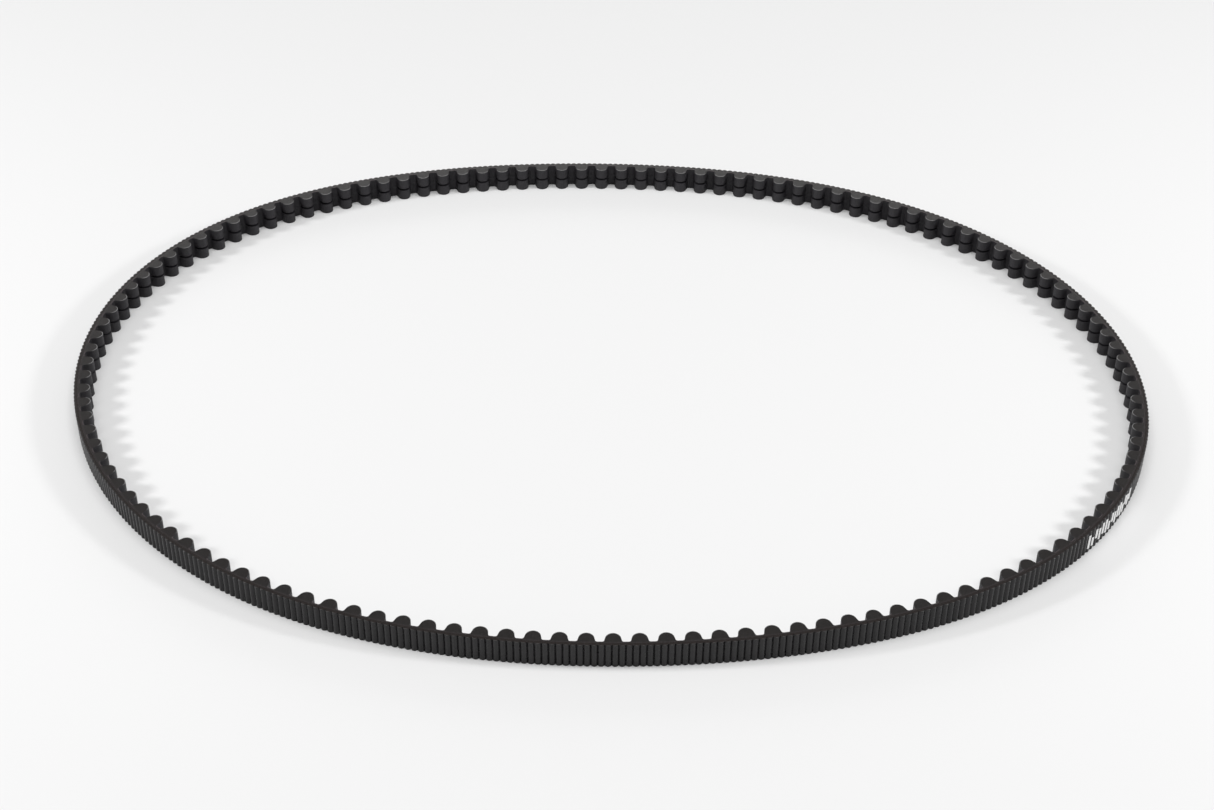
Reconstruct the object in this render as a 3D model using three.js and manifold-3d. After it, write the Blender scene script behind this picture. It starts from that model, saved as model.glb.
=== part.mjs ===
// An endless synchronous drive belt, lying on one cut edge in an open oval loop, teeth inwards.
// The belt is a bonded laminate of four layers: the fabric facing over the teeth, the toothed body
// under it, the ply of tensile cords and the back cover. It bends at the thin lands between its
// teeth, so every layer is cut at the same lands into a chain of links that turn about the middle
// of the cords.
// Millimetres, +Z up. The origin is the middle of the loop, on the surface that the belt lies on.

import * as THREE from 'three';
import { mergeVertices } from 'three/addons/utils/BufferGeometryUtils.js';
import Module from 'manifold-3d';

const wasm = await Module();
wasm.setup();

// The belt's size
const pitch = 11; // tooth spacing along the middle of the cords
const toothCount = 128;
const beltWidth = 12;
const beltLength = pitch * toothCount;

// The links: the teeth on each link of one half of the loop, which the other half repeats
const teethInHalf = [9, 9, 9, 10, 9, 9, 9];
const linkGap = 0.5; // room between two links, so that their corners clear when the joint turns

// The layers. Depths are from the middle of the cords, positive towards the teeth
const landDepth = 1.05;
const facingThickness = 0.3;
const bondGap = 0.1; // between two layers
const plyHalf = 0.35;
const bodyFloor = plyHalf + bondGap;
const coverFloor = -plyHalf - bondGap;
const backDepth = -1.6;

// A tooth, from its land to its round tip
const toothHeight = 5.05;
const toothRootHalf = 3.55;
const domeRadius = 3.33;
const domeCorners = [168, 127, 90, 53, 12]; // degrees round the dome, from rear to front

// The moulded groove that splits every tooth at mid width
const grooveWidth = 1.2;
const grooveFloor = landDepth + 0.35;
const grooveTop = landDepth + toothHeight + 1;

// The cords stop short of the cut edges
const plyEdgeInset = 0.6;

// How far a cutting solid reaches past what it cuts
const overcut = 1;

// The shape that the free loop takes up: its curvature is the mean times 1 plus these waves, which
// rise and fall a whole number of times round the loop, counted from the right-hand end
const curvatureWaves = [
  { times: 1, cosine: -0.000459, sine: -0.001464 }, // brings the ends of the loop together
  { times: 2, cosine: 0.4485, sine: 0 }, // the oval
  { times: 3, cosine: 0.018, sine: 0.033 }, // the back flatter than the front
  { times: 4, cosine: -0.039, sine: -0.086 }, // the oval leaning to one side
];
const startHeading = 1.532; // radians from +X

// The distance along the loop to the land where the first link starts and the last one ends
const openLand = 194.94;

const facingFabric = new THREE.MeshStandardMaterial({ color: 0x33312f, roughness: 0.7, metalness: 0 });
const bodyRubber = new THREE.MeshStandardMaterial({ color: 0x2a2826, roughness: 0.8, metalness: 0 });
const tensileCord = new THREE.MeshStandardMaterial({ color: 0x3a3b40, roughness: 0.5, metalness: 0.1 });
const coverRubber = new THREE.MeshStandardMaterial({ color: 0x242428, roughness: 0.55, metalness: 0 });

// The way the belt points at a distance along the middle of its cords
function heading(distance) {
  const share = (2 * Math.PI * distance) / beltLength;
  return curvatureWaves.reduce((turn, { times, cosine, sine }) => {
    const wave = cosine * Math.sin(times * share) + sine * (1 - Math.cos(times * share));
    return turn + wave / times;
  }, startHeading + share);
}

// The point a short length further along the belt's own line
function stepAlong(point, from, length) {
  const turn = heading(from + length / 2);
  return new THREE.Vector2(point.x + length * Math.cos(turn), point.y + length * Math.sin(turn));
}

// Points every fine step along the middle of the cords, with the middle of the loop at the origin
const fineStep = 1;
const path = [new THREE.Vector2()];
while (path.length <= beltLength / fineStep) {
  path.push(stepAlong(path.at(-1), (path.length - 1) * fineStep, fineStep));
}
const middle = new THREE.Box2().setFromPoints(path).getCenter(new THREE.Vector2());
path.forEach((point) => point.sub(middle));

// A point beside the belt's own line: forward of a distance along it, and a depth towards the teeth
function beside(distance, forward, depth) {
  const wrapped = THREE.MathUtils.euclideanModulo(distance, beltLength);
  const nearest = Math.floor(wrapped / fineStep);
  const point = stepAlong(path[nearest], nearest * fineStep, wrapped - nearest * fineStep);
  const turn = heading(wrapped);
  point.x += forward * Math.cos(turn) - depth * Math.sin(turn);
  point.y += forward * Math.sin(turn) + depth * Math.cos(turn);
  return point;
}

// A tooth's outline from its root over its tip to its root: x forward, y depth.
// Every corner is moved inwards along its mitre, to leave room for the layers over it.
function toothOutline(inset) {
  const dome = domeCorners.map((degrees) => {
    const turn = THREE.MathUtils.degToRad(degrees);
    const rise = toothHeight - domeRadius + domeRadius * Math.sin(turn);
    return new THREE.Vector2(domeRadius * Math.cos(turn), landDepth + rise);
  });
  const corners = [
    new THREE.Vector2(-pitch / 2, landDepth),
    new THREE.Vector2(-toothRootHalf, landDepth),
    ...dome,
    new THREE.Vector2(toothRootHalf, landDepth),
    new THREE.Vector2(pitch / 2, landDepth),
  ];
  return corners.slice(1, -1).map((corner, i) => {
    const into = corner.clone().sub(corners[i]).normalize();
    const away = corners[i + 2].clone().sub(corner).normalize();
    const mitre = new THREE.Vector2(into.y + away.y, -into.x - away.x);
    return corner.clone().addScaledVector(mitre, (2 * inset) / mitre.lengthSq());
  });
}

// A link's own line at one depth: its two ends, moved out by pastEnds, and the middle of each land
function linkLine({ start, teeth }, depth, pastEnds) {
  const points = [beside(start + linkGap / 2, -pastEnds, depth)];
  for (let tooth = 1; tooth < teeth; tooth += 1) {
    points.push(beside(start + tooth * pitch, 0, depth));
  }
  points.push(beside(start + teeth * pitch - linkGap / 2, pastEnds, depth));
  return points;
}

// The toothed side of a link, inset by the layers over it: up and down each tooth in turn
function toothLine({ start, teeth }, inset, pastEnds) {
  const points = [beside(start + linkGap / 2, -pastEnds, landDepth - inset)];
  for (let tooth = 0; tooth < teeth; tooth += 1) {
    const centre = start + (tooth + 0.5) * pitch;
    toothOutline(inset).forEach((corner) => points.push(beside(centre, corner.x, corner.y)));
  }
  points.push(beside(start + teeth * pitch - linkGap / 2, pastEnds, landDepth - inset));
  return points;
}

// A solid between two lines of points, standing on edge from one height to another
function standing(innerLine, outerLine, low, high) {
  const outline = new THREE.Shape([...innerLine, ...outerLine.toReversed()]);
  const geometry = new THREE.ExtrudeGeometry(outline, { depth: high - low, bevelEnabled: false });
  geometry.translate(0, 0, low);
  return geometry;
}

function toSolid(geometry) {
  const plain = geometry.clone();
  plain.deleteAttribute('normal');
  plain.deleteAttribute('uv');
  const merged = mergeVertices(plain);
  return new wasm.Manifold(new wasm.Mesh({
    numProp: 3,
    vertProperties: new Float32Array(merged.attributes.position.array),
    triVerts: new Uint32Array(merged.index.array),
  }));
}

function toGeometry(solid) {
  const mesh = solid.getMesh();
  const geometry = new THREE.BufferGeometry();
  geometry.setAttribute('position', new THREE.BufferAttribute(mesh.vertProperties, 3));
  geometry.setIndex(new THREE.BufferAttribute(mesh.triVerts, 1));
  return geometry;
}

// The groove as a solid, widened and deepened where it cuts a layer under the facing
function groove(link, inset) {
  const low = (beltWidth - grooveWidth) / 2 - inset;
  const floor = linkLine(link, grooveFloor - inset, overcut);
  return toSolid(standing(linkLine(link, grooveTop, overcut), floor, low, beltWidth - low));
}

// The toothed body: the teeth and the thin web between them, under the facing
function toothBody(link) {
  const inset = facingThickness + bondGap;
  const whole = standing(toothLine(link, inset, 0), linkLine(link, bodyFloor, 0), 0, beltWidth);
  return toGeometry(toSolid(whole).subtract(groove(link, inset)));
}

// The facing: fabric of even thickness over teeth and lands and down into the groove, cut at the edges
function toothFacing(link) {
  const outer = standing(toothLine(link, 0, 0), linkLine(link, bodyFloor, 0), 0, beltWidth);
  const coreFront = toothLine(link, facingThickness, overcut);
  const coreBack = linkLine(link, bodyFloor - overcut, overcut);
  const core = standing(coreFront, coreBack, -overcut, beltWidth + overcut);
  const groovedCore = toSolid(core).subtract(groove(link, facingThickness));
  return toGeometry(toSolid(outer).subtract(groove(link, 0)).subtract(groovedCore));
}

function cordPly(link) {
  const top = beltWidth - plyEdgeInset;
  return standing(linkLine(link, plyHalf, 0), linkLine(link, -plyHalf, 0), plyEdgeInset, top);
}

function backCover(link) {
  return standing(linkLine(link, coverFloor, 0), linkLine(link, backDepth, 0), 0, beltWidth);
}

const layers = [
  { name: 'tooth_facing', build: toothFacing, material: facingFabric },
  { name: 'tooth_body', build: toothBody, material: bodyRubber },
  { name: 'cord_ply', build: cordPly, material: tensileCord },
  { name: 'back_cover', build: backCover, material: coverRubber },
];

const belt = new THREE.Group();
let linkStart = openLand;
[...teethInHalf, ...teethInHalf].forEach((teeth, i) => {
  const link = { start: linkStart, teeth };
  layers.forEach(({ name, build, material }) => {
    const mesh = new THREE.Mesh(build(link), material);
    mesh.name = `${name}_${String(i + 1).padStart(2, '0')}`;
    belt.add(mesh);
  });
  linkStart += teeth * pitch;
});

export default belt;
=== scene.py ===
"""Looks for an endless synchronous drive belt that lies on one cut edge in a free oval loop."""

import math

import bmesh
import bpy
import numpy as np
from mathutils import Matrix, Vector


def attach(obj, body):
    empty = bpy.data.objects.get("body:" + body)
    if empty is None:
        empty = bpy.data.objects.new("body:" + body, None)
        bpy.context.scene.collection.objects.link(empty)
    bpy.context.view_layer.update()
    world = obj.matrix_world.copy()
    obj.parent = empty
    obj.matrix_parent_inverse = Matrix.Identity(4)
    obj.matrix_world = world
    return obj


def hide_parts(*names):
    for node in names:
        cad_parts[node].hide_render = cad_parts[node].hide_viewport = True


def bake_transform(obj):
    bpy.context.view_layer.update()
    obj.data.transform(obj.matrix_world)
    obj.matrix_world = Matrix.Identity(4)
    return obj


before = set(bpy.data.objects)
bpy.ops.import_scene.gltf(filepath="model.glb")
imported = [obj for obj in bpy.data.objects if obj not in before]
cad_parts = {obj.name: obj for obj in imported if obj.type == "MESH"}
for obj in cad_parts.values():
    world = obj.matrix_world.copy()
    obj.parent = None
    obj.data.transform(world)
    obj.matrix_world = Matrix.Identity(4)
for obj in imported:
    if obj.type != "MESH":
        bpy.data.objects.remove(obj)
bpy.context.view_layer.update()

# ---------------------------------------------------------------- the belt's line, as in the CAD (mm)
PITCH = 11.0
TOOTH_COUNT = 128
WIDTH = 12.0
LENGTH = PITCH * TOOTH_COUNT
TEETH_PER_LINK = [9, 9, 9, 10, 9, 9, 9] * 2
CURVATURE_WAVES = [
    # times round the loop, cosine, sine
    (1, -0.000459, -0.001464),
    (2, 0.4485, 0.0),
    (3, 0.018, 0.033),
    (4, -0.039, -0.086),
]
START_HEADING = 1.532
OPEN_LAND = 194.94
FINE_STEP = 1.0
MM = 0.001

# ---------------------------------------------------------------- the layers (mm)
# Depths are from the middle of the cords, positive towards the teeth
LAND = 1.05
TIP = 6.1
BACK_CREST = -1.6
FACING = 0.3
CAVITY = 0.45  # to the floor of the room that the cords lie in
LIP = 0.02  # to the rubber beside that room, where the body and the cover all but meet
WALL_LEAN = 0.02  # how far that room's walls lean
CUT_INSET = 0.03  # how far the rubber's cut faces stay under the facing's cut edge
CUT_CHAMFER = 0.05  # the rubber's chamfer at the cut edges: its width, and then its depth
CUT_CHAMFER_DEPTH = 0.04
BODY_SLACK = 0.005  # between the body and the facing
CORD_EDGE = 0.6
OPEN_GAP = 0.08  # half the hairline at the open pivot

# A tooth
ROOT_HALF = 3.6
ROOT_FILLET = 0.9
DOME_RADIUS = 3.33
GROOVE_HALF = 0.6
GROOVE_FLOOR = LAND + 0.35
GROOVE_LOW = WIDTH / 2 - GROOVE_HALF  # the height of its lower wall
GROOVE_ROUNDING = 0.12  # of the teeth at its edges
FILLET_CORNERS = 5
DOME_STEP = 10  # degrees between two corners of a tooth's round tip
LAND_CORNER = 5.0  # from a tooth's centre to a corner on the land

# The ribs across the back
RIB_COUNT = 490
RIB_PITCH = LENGTH / RIB_COUNT
RIB_HEIGHT = 0.85
RIB_POWER = 2.0  # 2 gives each crest the shape of a parabola
RIB_STATIONS = 8
SHORTEST_STEP = 0.04  # between two stations

# The cords
CORD_COUNT = 10
CORD_RADIUS = 0.35
CORD_SIDES = 8
CORD_STATIONS_PER_TOOTH = 4
CORD_ROOM = 0.1  # left free across the width
CORD_LAY = 9.0  # along the belt for one turn of the twist
STRAND_BULGE = 0.14  # of the radius

SHARP_ANGLE = 38  # degrees between two faces; above it their edge is sharp


def heading(distance):
    """The way the belt points, in radians from +X."""
    share = 2 * np.pi * distance / LENGTH
    turn = START_HEADING + share
    for times, cosine, sine in CURVATURE_WAVES:
        turn = turn + (cosine * np.sin(times * share) + sine * (1 - np.cos(times * share))) / times
    return turn


def belt_path():
    """Points every fine step along the middle of the cords, round the middle of the loop."""
    middles = heading(np.arange(0, LENGTH, FINE_STEP) + FINE_STEP / 2)
    steps = FINE_STEP * np.column_stack([np.cos(middles), np.sin(middles)])
    points = np.vstack([[0, 0], np.cumsum(steps, axis=0)])
    return points - (points.min(axis=0) + points.max(axis=0)) / 2


PATH = belt_path()


def beside(distance, depth, height):
    """Points in metres at a distance along the belt, a depth towards the teeth and a height."""
    distance, depth, height = np.broadcast_arrays(distance, depth, height)
    wrapped = np.mod(distance, LENGTH)
    nearest = np.floor(wrapped / FINE_STEP).astype(int)
    left_over = wrapped - nearest * FINE_STEP
    turn = heading(nearest * FINE_STEP + left_over / 2)
    across = heading(wrapped)
    x = PATH[nearest, 0] + left_over * np.cos(turn) - depth * np.sin(across)
    y = PATH[nearest, 1] + left_over * np.sin(turn) + depth * np.cos(across)
    return np.stack([x, y, height], axis=-1) * MM


# ---------------------------------------------------------------- the tooth's outline
def tooth_outline():
    """Distance from the tooth's centre and depth, from mid land over the tip to mid land."""
    fillet = np.radians(np.linspace(-90, -180, FILLET_CORNERS))
    fillet_x = ROOT_HALF + ROOT_FILLET + ROOT_FILLET * np.cos(fillet)
    fillet_depth = LAND + ROOT_FILLET + ROOT_FILLET * np.sin(fillet)
    dome = np.radians(np.arange(DOME_STEP, 90, DOME_STEP))
    dome_x = DOME_RADIUS * np.cos(dome)
    dome_depth = TIP - DOME_RADIUS * (1 - np.sin(dome))
    half_x = np.concatenate([[PITCH / 2, LAND_CORNER], fillet_x, dome_x])
    half_depth = np.concatenate([[LAND, LAND], fillet_depth, dome_depth])
    x = np.concatenate([-half_x, [0], half_x[::-1]])
    depth = np.concatenate([half_depth, [TIP], half_depth[::-1]])
    return x, depth


OUTLINE_X, OUTLINE_DEPTH = tooth_outline()


def outline_normals():
    """The way out of the tooth at each corner, from the corners before and after it."""
    before_x = np.concatenate([[OUTLINE_X[-2] - PITCH], OUTLINE_X[:-1]])
    after_x = np.concatenate([OUTLINE_X[1:], [OUTLINE_X[1] + PITCH]])
    before_depth = np.concatenate([[LAND], OUTLINE_DEPTH[:-1]])
    after_depth = np.concatenate([OUTLINE_DEPTH[1:], [LAND]])
    normal = np.column_stack([before_depth - after_depth, after_x - before_x])
    return normal / np.linalg.norm(normal, axis=1)[:, None]


OUTLINE_NORMAL = outline_normals()
OUTLINE_ARC = np.concatenate([[0], np.cumsum(np.hypot(np.diff(OUTLINE_X), np.diff(OUTLINE_DEPTH)))])


def mirrored(levels):
    """Levels from one cut edge to the middle, and back out to the other cut edge."""
    return levels + [(WIDTH - height, *rest) for height, *rest in levels[::-1]]


# ---------------------------------------------------------------- meshes
def tube_faces(index):
    """The faces through rings of vertices, given by their numbers, with both ends capped."""
    nearer, further = index[:-1], index[1:]
    quads = np.stack([nearer, np.roll(nearer, -1, 1), np.roll(further, -1, 1), further], axis=-1)
    return quads.reshape(-1, 4).tolist() + [index[0].tolist(), index[-1].tolist()]


def swept(name, rings, along, belt_coords):
    """A closed solid through rings of points, one per station, with both ends capped.
    along is the distance over the outline, belt_coords the place in the belt, for the materials."""
    stations, count, _ = rings.shape
    index = np.arange(stations * count).reshape(stations, count)
    mesh = bpy.data.meshes.new(name)
    mesh.from_pydata(rings.reshape(-1, 3).tolist(), [], tube_faces(index))
    add_belt_coords(mesh, along, belt_coords)
    return tidied(name, mesh)


def add_belt_coords(mesh, along, belt_coords):
    """Give each vertex what the materials read: its place in the belt and its distance over the outline."""
    place = mesh.attributes.new("belt_place", "FLOAT_VECTOR", "POINT")
    place.data.foreach_set("vector", belt_coords.reshape(-1).astype(np.float32))
    over = mesh.attributes.new("over_outline", "FLOAT", "POINT")
    over.data.foreach_set("value", along.reshape(-1).astype(np.float32))


def tidied(name, mesh):
    """A piece with its faces turned outwards, smooth but for its sharp corners."""
    work = bmesh.new()
    work.from_mesh(mesh)
    bmesh.ops.recalc_face_normals(work, faces=work.faces)
    work.to_mesh(mesh)
    work.free()
    mesh.shade_smooth()
    mesh.set_sharp_from_angle(angle=math.radians(SHARP_ANGLE))
    piece = bpy.data.objects.new(name, mesh)
    bpy.context.scene.collection.objects.link(piece)
    return piece


def toothed_layer(name, start, teeth, levels, cut_start=0.0, cut_end=0.0):
    """A layer on the toothed side. Each level is (height, inset under the outline, highest depth)."""
    centres = start + (np.arange(teeth) + 0.5) * PITCH
    last = len(OUTLINE_X) - 1
    pick = np.concatenate([np.tile(np.arange(last), teeth), [last]])
    centre = np.concatenate([np.repeat(centres, last), centres[-1:]])
    arc = np.concatenate([np.repeat(np.arange(teeth), last), [teeth - 1]]) * OUTLINE_ARC[-1]
    distances, depths, heights = [], [], []
    for height, inset, highest in levels:
        distance = centre + OUTLINE_X[pick] - inset * OUTLINE_NORMAL[pick, 0]
        depth = OUTLINE_DEPTH[pick] - inset * OUTLINE_NORMAL[pick, 1]
        distances.append(np.clip(distance, start + cut_start, start + teeth * PITCH - cut_end))
        depths.append(np.minimum(depth, highest))
        heights.append(np.full(len(pick), height))
    distance, depth, height = (np.stack(part, axis=1) for part in (distances, depths, heights))
    along = np.repeat((arc + OUTLINE_ARC[pick])[:, None], len(levels), axis=1)
    coords = np.stack([distance, depth, height], axis=-1)
    return swept(name, beside(distance, depth, height), along, coords)


# Levels of (height, inset under the outline, highest depth): the outer side, then the inner side
NO_LIMIT = 99.0
FACING_LEVELS = mirrored([
    (0.0, 0.10, NO_LIMIT),
    (0.10, 0.0, NO_LIMIT),
    (1.6, 0.0, NO_LIMIT),
    (3.6, 0.0, NO_LIMIT),
    (GROOVE_LOW - 0.2, 0.0, NO_LIMIT),
    (GROOVE_LOW - 0.05, GROOVE_ROUNDING / 3, NO_LIMIT),
    (GROOVE_LOW, GROOVE_ROUNDING, NO_LIMIT),
    (GROOVE_LOW + 0.1, GROOVE_ROUNDING, GROOVE_FLOOR),
]) + mirrored([
    (0.0, FACING, NO_LIMIT),
    (GROOVE_LOW - 0.4, FACING, NO_LIMIT),
    (GROOVE_LOW - 0.3, FACING + GROOVE_ROUNDING, GROOVE_FLOOR - FACING),
])[::-1]

BODY_LEVELS = mirrored([
    (CUT_INSET, FACING + CUT_CHAMFER_DEPTH, NO_LIMIT),
    (CUT_INSET + CUT_CHAMFER, FACING + BODY_SLACK, NO_LIMIT),
    (GROOVE_LOW - 0.42, FACING + BODY_SLACK, NO_LIMIT),
    (GROOVE_LOW - 0.32, FACING + GROOVE_ROUNDING + BODY_SLACK, GROOVE_FLOOR - FACING - BODY_SLACK),
]) + mirrored([
    (CUT_INSET, 0.0, LIP + CUT_CHAMFER_DEPTH),
    (CUT_INSET + CUT_CHAMFER, 0.0, LIP),
    (CORD_EDGE, 0.0, LIP),
    (CORD_EDGE + WALL_LEAN, 0.0, CAVITY),
])[::-1]


def rib_depth(distance):
    """The back's depth: rounded crests with narrow valleys between them."""
    share = np.mod(distance / RIB_PITCH, 1.0)
    return BACK_CREST + RIB_HEIGHT * np.abs(2 * share - 1) ** RIB_POWER


# Levels of (height, inset under the ribs), and of (height, depth) on the side of the cords
BACK_LEVELS = mirrored([(CUT_INSET, 0.12), (CUT_INSET + 0.1, 0.0), (2.0, 0.0), (4.5, 0.0)])
COVER_FRONT_LEVELS = mirrored([
    (CUT_INSET, -LIP - CUT_CHAMFER_DEPTH),
    (CUT_INSET + CUT_CHAMFER, -LIP),
    (CORD_EDGE, -LIP),
    (CORD_EDGE + WALL_LEAN, -CAVITY),
])[::-1]


def cover_layer(name, start, end):
    """The back cover, with a station at both ends and several on each rib between them."""
    ribs = np.arange(math.floor(start / RIB_PITCH), math.ceil(end / RIB_PITCH))[:, None]
    share = np.arange(RIB_STATIONS) / RIB_STATIONS
    spread = 0.5 - 0.5 * np.cos(np.pi * share)  # closer together in the valleys
    inner = (ribs + 0.5 * (share + spread)).ravel() * RIB_PITCH
    clear_of_ends = (inner > start + SHORTEST_STEP) & (inner < end - SHORTEST_STEP)
    distance = np.concatenate([[start], inner[clear_of_ends], [end]])
    columns = [(rib_depth(distance) + inset, height) for height, inset in BACK_LEVELS]
    columns += [(np.full(len(distance), depth), height) for height, depth in COVER_FRONT_LEVELS]
    depth = np.stack([column for column, _ in columns], axis=1)
    height = np.broadcast_to([height for _, height in columns], depth.shape)
    wide = np.broadcast_to(distance[:, None], depth.shape)
    coords = np.stack([wide, depth, height], axis=-1)
    return swept(name, beside(wide, depth, height), wide, coords)


def cord_layer(name, start, end):
    """The tensile cords side by side, two strands each, twisted left and right in turn."""
    count = round((end - start) / PITCH * CORD_STATIONS_PER_TOOTH) + 1
    distance = np.linspace(start, end, count)[:, None]
    around = np.linspace(0, 2 * np.pi, CORD_SIDES, endpoint=False)[None, :]
    spacing = (WIDTH - 2 * CORD_EDGE - CORD_ROOM) / CORD_COUNT
    vertices, faces, along, coords = [], [], [], []
    for cord in range(CORD_COUNT):
        twist = 2 * np.pi * distance / CORD_LAY * (1 if cord % 2 else -1)
        radius = CORD_RADIUS * (1 + STRAND_BULGE * np.cos(2 * (around - twist)))
        middle = WIDTH / 2 + (cord - (CORD_COUNT - 1) / 2) * spacing
        height = middle + radius * np.sin(around)
        depth = radius * np.cos(around)
        wide = np.broadcast_to(distance, depth.shape)
        faces += tube_faces(np.arange(depth.size).reshape(depth.shape) + cord * depth.size)
        vertices.append(beside(wide, depth, height).reshape(-1, 3))
        along.append((around - twist).ravel())
        coords.append(np.stack([wide, depth, height], axis=-1).reshape(-1, 3))
    mesh = bpy.data.meshes.new(name)
    mesh.from_pydata(np.vstack(vertices).tolist(), [], faces)
    add_belt_coords(mesh, np.concatenate(along), np.vstack(coords))
    return tidied(name, mesh)


# ---------------------------------------------------------------- printed marks
# Plain bars along the rib crests
INK_THICKNESS = 0.03
INK_SINK = 0.04  # how far the ink reaches under the crest
CREST_SHARE = 0.31  # of the rib pitch, from the middle of the crest to the edge of a bar
PATCH_STATIONS = 5


def ink_patch(rib, low, high):
    """A grid of (distance, height) over the crest of one rib."""
    distance = (rib + 0.5 + np.linspace(-CREST_SHARE, CREST_SHARE, PATCH_STATIONS)) * RIB_PITCH
    return np.meshgrid(distance, np.linspace(low, high, PATCH_STATIONS), indexing="ij")


def ink_layer(name, patches):
    """All the bars as one piece, each a thin closed solid that follows its crest."""
    vertices, faces, coords = [], [], []
    for distance, height in patches:
        for lift in (-INK_THICKNESS, INK_SINK):
            depth = rib_depth(distance) + lift
            vertices.append(beside(distance, depth, height).reshape(-1, 3))
            coords.append(np.stack([distance, depth, height], axis=-1).reshape(-1, 3))
        rows, columns = distance.shape
        base = sum(len(part) for part in vertices[:-2])
        outer = base + np.arange(rows * columns).reshape(rows, columns)
        inner = outer + rows * columns
        for grid in (outer, inner):
            square = np.stack([grid[:-1, :-1], grid[1:, :-1], grid[1:, 1:], grid[:-1, 1:]], axis=-1)
            faces += square.reshape(-1, 4).tolist()
        for rim, under in (
            (outer[0], inner[0]),
            (outer[-1], inner[-1]),
            (outer[:, 0], inner[:, 0]),
            (outer[:, -1], inner[:, -1]),
        ):
            wall = np.stack([rim[:-1], rim[1:], under[1:], under[:-1]], axis=-1)
            faces += wall.tolist()
    mesh = bpy.data.meshes.new(name)
    mesh.from_pydata(np.vstack(vertices).tolist(), [], faces)
    coords = np.vstack(coords)
    add_belt_coords(mesh, coords[:, 0], coords)
    return tidied(name, mesh)


# ---------------------------------------------------------------- materials
class Nodes:
    """A short way to write a node tree."""

    def __init__(self, name, **inputs):
        self.material = bpy.data.materials.new(name)
        self.material.use_nodes = True
        self.tree = self.material.node_tree
        self.shader = self.tree.nodes["Principled BSDF"]
        for key, value in inputs.items():
            self.shader.inputs[key.replace("_", " ")].default_value = value

    def add(self, kind, links=None, **settings):
        node = self.tree.nodes.new(kind)
        for key, value in settings.items():
            setattr(node, key, value)
        for socket, source in (links or {}).items():
            if isinstance(source, bpy.types.NodeSocket):
                self.tree.links.new(source, node.inputs[socket])
            else:
                node.inputs[socket].default_value = source
        return node

    def place(self):
        """The place in the belt: distance, depth and height in mm."""
        return self.add("ShaderNodeAttribute", attribute_name="belt_place").outputs["Vector"]

    def over_outline(self):
        return self.add("ShaderNodeAttribute", attribute_name="over_outline").outputs["Fac"]

    def parts(self, vector):
        return self.add("ShaderNodeSeparateXYZ", {"Vector": vector}).outputs

    def scaled(self, vector, x, y, z):
        return self.add("ShaderNodeMapping", {"Vector": vector, "Scale": (x, y, z)}).outputs["Vector"]

    def noise(self, vector, scale=1.0, detail=3.0, roughness=0.6):
        links = {"Vector": vector, "Scale": scale, "Detail": detail, "Roughness": roughness}
        return self.add("ShaderNodeTexNoise", links).outputs["Fac"]

    def math(self, operation, first, second=0.0):
        return self.add("ShaderNodeMath", {0: first, 1: second}, operation=operation).outputs[0]

    def ranged(self, value, from_low, from_high, to_low=0.0, to_high=1.0):
        links = {
            "Value": value,
            "From Min": from_low,
            "From Max": from_high,
            "To Min": to_low,
            "To Max": to_high,
        }
        return self.add("ShaderNodeMapRange", links).outputs["Result"]

    def mix(self, share, first, second):
        """A mix of two colours, whose sockets the node numbers 6 and 7."""
        links = {0: share, 6: first, 7: second}
        return self.add("ShaderNodeMix", links, data_type="RGBA").outputs[2]

    def bump(self, height, distance, strength=1.0, under=None):
        links = {"Height": height, "Distance": distance, "Strength": strength}
        if under is not None:
            links["Normal"] = under
        return self.add("ShaderNodeBump", links).outputs["Normal"]

    def feed(self, **sources):
        for key, source in sources.items():
            self.tree.links.new(source, self.shader.inputs[key.replace("_", " ")])
        return self.material


def grey(value):
    return (value, value, value, 1.0)


def black(value, warmth):
    """A near black, brownish for a positive warmth and bluish for a negative one."""
    return (value * (1 + warmth), value * 0.85, value * (1 - warmth), 1.0)


def cut_face_share(nodes, height):
    """1 on the two cut edges of the belt and 0 between them."""
    from_middle = nodes.math("ABSOLUTE", nodes.math("SUBTRACT", height, WIDTH / 2))
    return nodes.ranged(from_middle, WIDTH / 2 - 0.11, WIDTH / 2 - 0.04)


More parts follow.
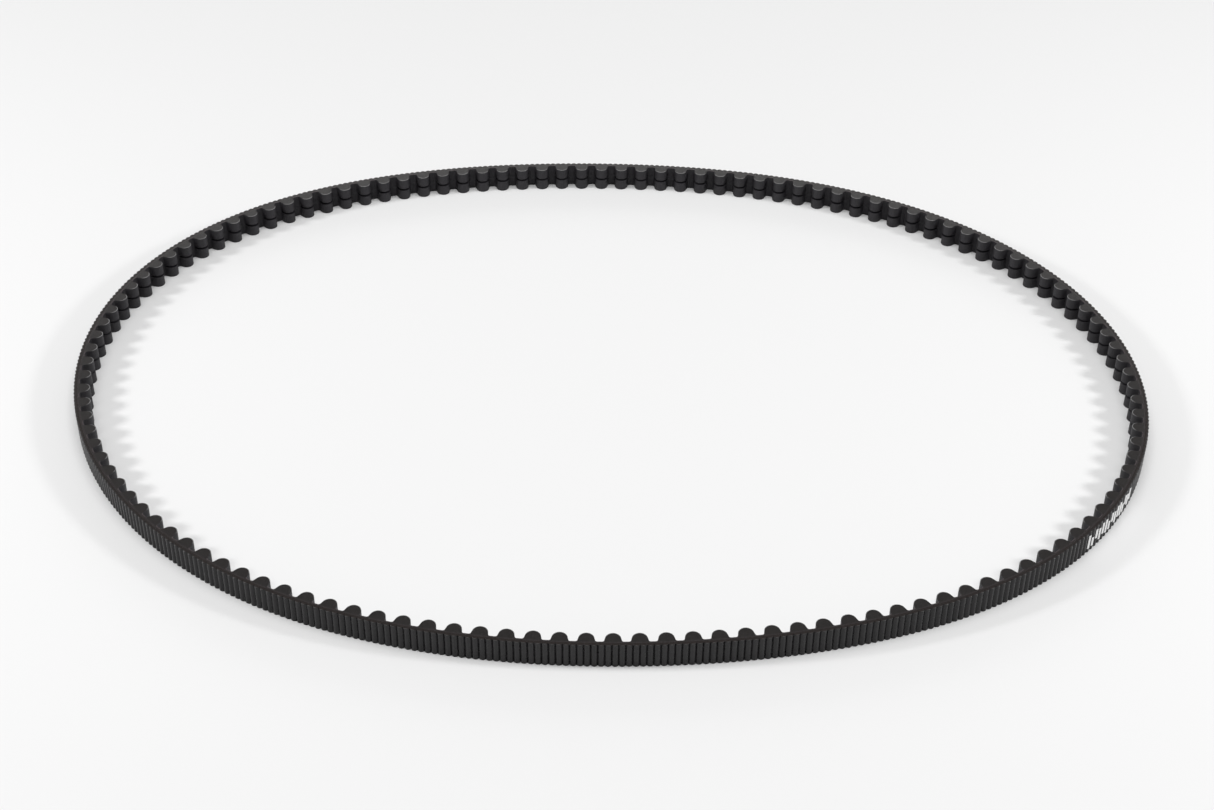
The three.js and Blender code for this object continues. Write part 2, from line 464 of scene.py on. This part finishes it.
def facing_material():
    """Woven nylon facing: fine diagonal weave, rubbed at the tips; along its cut edge lighter on the lands
    than up the flanks, with fraying threads and a painted highlight near the tips.
    """
    nodes = Nodes("tooth_facing_fabric", Roughness=0.55, Specular_IOR_Level=0.42)
    place = nodes.place()
    _, depth, height = nodes.parts(place)
    woven = nodes.add("ShaderNodeCombineXYZ", {0: nodes.over_outline(), 1: height}).outputs[0]
    links = {"Vector": woven, "Scale": 1.0, "Distortion": 0.6, "Detail": 1.0, "Detail Scale": 2.0}
    warp = nodes.add("ShaderNodeTexWave", links, wave_type="BANDS", bands_direction="DIAGONAL")
    weft = nodes.add("ShaderNodeTexWave", links, wave_type="BANDS", bands_direction="Y")
    weave = nodes.math("MULTIPLY", warp.outputs["Fac"], weft.outputs["Fac"])
    patches = nodes.noise(nodes.scaled(place, 0.12, 0.5, 0.3))
    grain = nodes.noise(place, scale=5.0, detail=4.0)
    base = nodes.mix(nodes.ranged(patches, 0.3, 0.7), black(0.012, -0.05), black(0.017, -0.05))
    threads = nodes.mix(nodes.math("MULTIPLY", weave, 0.5), base, black(0.021, -0.05))
    on_crown = nodes.ranged(depth, TIP - 0.5, TIP - 0.05)
    worn = nodes.math("MULTIPLY", on_crown, nodes.ranged(grain, 0.3, 0.6, 0.4, 1.0))
    rubbed = nodes.mix(worn, threads, black(0.02, -0.05))
    # A painted highlight along the cut edge near the tooth tips, broken up by the grain like fraying
    # threads
    at_tip = nodes.ranged(depth, TIP - 2.6, TIP - 0.8)
    frayed_glint = nodes.math("MULTIPLY", at_tip, nodes.ranged(grain, 0.35, 0.65))
    at_land = nodes.ranged(depth, LAND + 0.5, LAND + 0.1)
    rim = nodes.mix(at_land, black(0.008, 0.1), black(0.06, 0.1))
    rim = nodes.mix(frayed_glint, rim, grey(0.42))
    colour = nodes.mix(cut_face_share(nodes, height), rubbed, rim)
    normal = nodes.bump(weave, 0.0001, 1.0)
    normal = nodes.bump(grain, 0.00003, 0.5, under=normal)
    return nodes.feed(Base_Color=colour, Normal=normal)


CUT_ROUGHNESS = 0.35


def body_material():
    """Rubber, seen on its knife-cut faces: fine lines along the cut and a line where it meets the cords."""
    nodes = Nodes("tooth_body_rubber", Roughness=CUT_ROUGHNESS, Specular_IOR_Level=0.45)
    place = nodes.place()
    lines = nodes.noise(nodes.scaled(place, 0.35, 7.0, 1.0), detail=4.0)
    bloom = nodes.noise(nodes.scaled(place, 0.25, 0.25, 0.25), detail=5.0)
    grain = nodes.noise(place, scale=6.0)
    _, depth, _ = nodes.parts(place)
    base = nodes.mix(nodes.ranged(bloom, 0.3, 0.7), black(0.003, 0.25), black(0.006, 0.25))
    streaked = nodes.mix(nodes.ranged(lines, 0.45, 0.75, 0.0, 0.5), base, black(0.011, 0.25))
    bond_line = nodes.math("MULTIPLY", nodes.ranged(depth, 0.9, 0.6), nodes.ranged(depth, -0.1, 0.15))
    colour = nodes.mix(nodes.math("MULTIPLY", bond_line, 0.5), streaked, black(0.025, 0.12))
    normal = nodes.bump(lines, 0.00005, 0.8)
    normal = nodes.bump(grain, 0.00003, 0.6, under=normal)
    return nodes.feed(Base_Color=colour, Normal=normal)


def back_material():
    """Satin moulded back: rib crests rubbed lighter than the valleys, no two ribs quite alike."""
    nodes = Nodes("back_cover_rubber", Specular_IOR_Level=0.35)
    place = nodes.place()
    _, depth, height = nodes.parts(place)
    crest = nodes.ranged(depth, BACK_CREST + RIB_HEIGHT, BACK_CREST + 0.06)
    per_rib = nodes.noise(nodes.scaled(place, 0.45, 0.0, 0.04), detail=2.0)
    rubbed = nodes.noise(nodes.scaled(place, 0.8, 0.5, 0.5), detail=5.0)
    grain = nodes.noise(place, scale=4.0, detail=4.0)
    worn = nodes.mix(nodes.ranged(per_rib, 0.3, 0.7), black(0.003, 0.0), black(0.010, 0.0))
    worn = nodes.mix(nodes.ranged(rubbed, 0.55, 0.8, 0.0, 0.6), worn, black(0.02, 0.0))
    moulded = nodes.mix(crest, black(0.007, 0.0), worn)
    cut = nodes.mix(nodes.ranged(rubbed, 0.3, 0.7), black(0.008, 0.25), black(0.012, 0.25))
    cut = nodes.mix(nodes.ranged(depth, BACK_CREST + 0.45, BACK_CREST + 0.1), cut, grey(0.07))
    on_cut = cut_face_share(nodes, height)
    colour = nodes.mix(on_cut, moulded, cut)
    satin = nodes.ranged(rubbed, 0.3, 0.7, 0.24, 0.36)
    roughness = nodes.ranged(on_cut, 0.0, 1.0, satin, CUT_ROUGHNESS)
    normal = nodes.bump(rubbed, 0.00006, 0.5)
    normal = nodes.bump(grain, 0.00003, 0.5, under=normal)
    return nodes.feed(Base_Color=colour, Roughness=roughness, Normal=normal)


def cord_material():
    """Graphite-grey filaments, laid along the twist of each cord."""
    nodes = Nodes("tensile_cord_filament", Roughness=0.38)
    distance, _, _ = nodes.parts(nodes.place())
    stretched = nodes.math("MULTIPLY", distance, 0.15)
    fine = nodes.add("ShaderNodeCombineXYZ", {0: stretched, 1: nodes.over_outline()}).outputs[0]
    filaments = nodes.noise(nodes.scaled(fine, 1.0, 6.0, 1.0), scale=2.0, detail=3.0)
    colour = nodes.mix(nodes.ranged(filaments, 0.3, 0.7), grey(0.02), grey(0.06))
    return nodes.feed(Base_Color=colour, Normal=nodes.bump(filaments, 0.00004, 0.8))


def ink_material():
    """White transfer ink, thin and slightly rubbed."""
    nodes = Nodes("print_white_ink", Roughness=0.45)
    place = nodes.place()
    worn = nodes.noise(nodes.scaled(place, 1.5, 1.5, 1.0), detail=5.0, roughness=0.7)
    colour = nodes.mix(nodes.ranged(worn, 0.55, 0.75), grey(0.9), grey(0.5))
    return nodes.feed(Base_Color=colour, Normal=nodes.bump(worn, 0.00003, 0.5))


FABRIC = facing_material()
BODY_RUBBER = body_material()
BACK_RUBBER = back_material()
CORD = cord_material()
INK = ink_material()


# ---------------------------------------------------------------- the belt in spans
# Each span but the first and last runs from mid link to mid link
def link_starts():
    """The land where each link starts, and the one where the last link ends."""
    starts = [OPEN_LAND]
    for teeth in TEETH_PER_LINK:
        starts.append(starts[-1] + teeth * PITCH)
    return starts


STARTS = link_starts()
LINK_COUNT = len(TEETH_PER_LINK)
MID_LANDS = [start + teeth // 2 * PITCH for start, teeth in zip(STARTS, TEETH_PER_LINK)]


def nodes_of(layer, links):
    return [f"{layer}_{link:02d}" for link in links]


def finished(piece, material, layer, links):
    """Material, slot and CAD nodes, and the move: a piece on one link rides with it; a piece between two
    links is baked in place.
    """
    piece.data.materials.append(material)
    if layer:
        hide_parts(*nodes_of(layer, links))
    bodies = nodes_of("link", links)
    if len(bodies) == 1:
        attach(piece, bodies[0])
        return
    ends = [beside(MID_LANDS[link - 1], 0.0, WIDTH / 2) for link in links]
    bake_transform(piece)


def build_span(tag, start, end, links, cut_start=0.0, cut_end=0.0):
    """The four layers of the belt from one land to another, shortened where the open pivot is."""
    teeth = round((end - start) / PITCH)
    facing = toothed_layer(f"facing_{tag}", start, teeth, FACING_LEVELS, cut_start, cut_end)
    finished(facing, FABRIC, "tooth_facing", links)
    body = toothed_layer(f"teeth_{tag}", start, teeth, BODY_LEVELS, cut_start, cut_end)
    finished(body, BODY_RUBBER, "tooth_body", links)
    cords = cord_layer(f"cords_{tag}", start + cut_start, end - cut_end)
    finished(cords, CORD, "cord_ply", links)
    cover = cover_layer(f"cover_{tag}", start + cut_start, end - cut_end)
    finished(cover, BACK_RUBBER, "back_cover", links)


build_span("first", OPEN_LAND, MID_LANDS[0], [1], cut_start=OPEN_GAP)
for link in range(1, LINK_COUNT):
    build_span(f"{link:02d}", MID_LANDS[link - 1], MID_LANDS[link], [link, link + 1])
build_span("last", MID_LANDS[-1], STARTS[-1], [LINK_COUNT], cut_end=OPEN_GAP)

# The marks lie on the span between links 11 and 12
MARK_LINKS = [11, 12]
MARKED_RIBS = range(450, 465)
MARK_PATTERN = [
    # lowest and highest point of a bar
    (2.2, 9.8),
    (2.2, 7.0),
    (4.6, 9.8),
    (2.2, 8.6),
    (3.4, 9.8),
]
marks = [ink_patch(rib, *MARK_PATTERN[rib % len(MARK_PATTERN)]) for rib in MARKED_RIBS]
finished(ink_layer("printed_marks", marks), INK, None, MARK_LINKS)

# ---------------------------------------------------------------- the floor, the light and the camera
FLOOR_HALF = 6.0
floor_mesh = bpy.data.meshes.new("floor")
corners = [(x * FLOOR_HALF, y * FLOOR_HALF, 0.0) for x, y in ((-1, -1), (1, -1), (1, 1), (-1, 1))]
floor_mesh.from_pydata(corners, [], [(0, 1, 2, 3)])
floor = bpy.data.objects.new("floor", floor_mesh)
bpy.context.scene.collection.objects.link(floor)
floor_nodes = Nodes("floor_paper", Base_Color=grey(0.8), Roughness=0.9, Specular_IOR_Level=0.1)
floor_mesh.materials.append(floor_nodes.material)


def soft_box(name, place, size, power):
    """A rectangular lamp that points at the middle of the loop."""
    data = bpy.data.lights.new(name, "AREA")
    data.shape = "RECTANGLE"
    data.size, data.size_y = size
    data.energy = power
    light = bpy.data.objects.new(name, data)
    light.location = place
    light.rotation_euler = (-Vector(place)).to_track_quat("-Z", "Y").to_euler()
    bpy.context.scene.collection.objects.link(light)


for side, name in ((-1, "left_soft_box"), (1, "right_soft_box")):
    soft_box(name, place=(side * 1.1, -0.12, 0.68), size=(0.18, 0.18), power=5.4)
soft_box("overhead_soft_box", place=(0.0, -0.4, 2.6), size=(2.3, 2.3), power=48.5)
soft_box("back_soft_box", place=(0.0, 1.7, 0.62), size=(2.4, 0.6), power=7.2)

world = bpy.data.worlds.new("studio")
world.use_nodes = True
background = world.node_tree.nodes["Background"]
background.inputs["Color"].default_value = grey(1.0)
background.inputs["Strength"].default_value = 0.2
bpy.context.scene.world = world
bpy.context.scene.view_settings.view_transform = "Standard"

# The camera stands in front of the belt and looks down on it: angles in radians, lengths in mm
ELEVATION = 0.65993
ROLL = 0.010089
CAMERA_DISTANCE = 970.67
TARGET = Vector((-0.268, -13.702, 0.0))
camera_data = bpy.data.cameras.new("camera")
camera_data.sensor_width = 36.0
camera_data.lens = 60.248
camera = bpy.data.objects.new("camera", camera_data)
backwards = Vector((0.0, -math.cos(ELEVATION), math.sin(ELEVATION)))
level = Vector((1.0, 0.0, 0.0))
upright = Vector((0.0, math.sin(ELEVATION), math.cos(ELEVATION)))
right = level * math.cos(ROLL) + upright * math.sin(ROLL)
up = upright * math.cos(ROLL) - level * math.sin(ROLL)
turned = Matrix((right, up, backwards)).transposed().to_4x4()
camera.matrix_world = Matrix.Translation((TARGET + backwards * CAMERA_DISTANCE) * MM) @ turned
bpy.context.scene.collection.objects.link(camera)
bpy.context.scene.camera = camera
